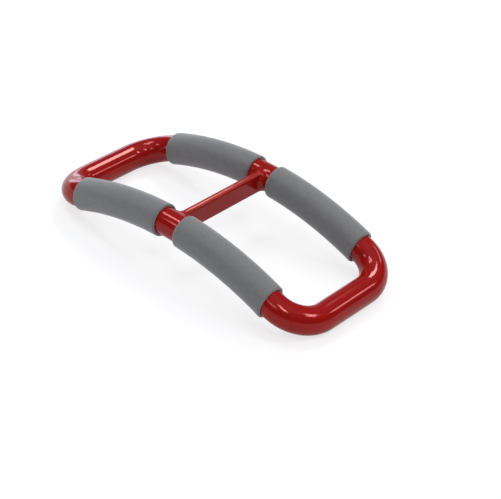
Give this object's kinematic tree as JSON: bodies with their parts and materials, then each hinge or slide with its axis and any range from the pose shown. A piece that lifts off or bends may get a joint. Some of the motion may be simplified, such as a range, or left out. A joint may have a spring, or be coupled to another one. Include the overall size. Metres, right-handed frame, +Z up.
{
  "type": "standing support handle",
  "caption": "Arched closed-loop tube handle with a flat crossbar and foam grips on both long sides, for helping a person to stand up.",
  "frame": {"origin": "under the middle of the frame, on the surface that its two end tubes stand on", "axes": "+X along the long sides towards the right end, +Y across the frame from the front long side to the back one, +Z up, the way the long sides arch"},
  "size_m": [0.4012, 0.1886, 0.0776],
  "materials": {
    "frame_paint": "gloss",
    "grip_foam": "matte",
    "liner_steel": "satin"
  },
  "bodies": {
    "root": {"bow_left": "frame_paint", "bow_right": "frame_paint", "crossbar": "frame_paint", "bar_weld_front": "frame_paint", "bar_weld_back": "frame_paint", "butt_weld_front": "frame_paint", "butt_weld_back": "frame_paint", "liner_front": "liner_steel", "liner_back": "liner_steel", "grip_front_left": "grip_foam", "grip_front_right": "grip_foam", "grip_back_left": "grip_foam", "grip_back_right": "grip_foam"}
  },
  "joints": []
}
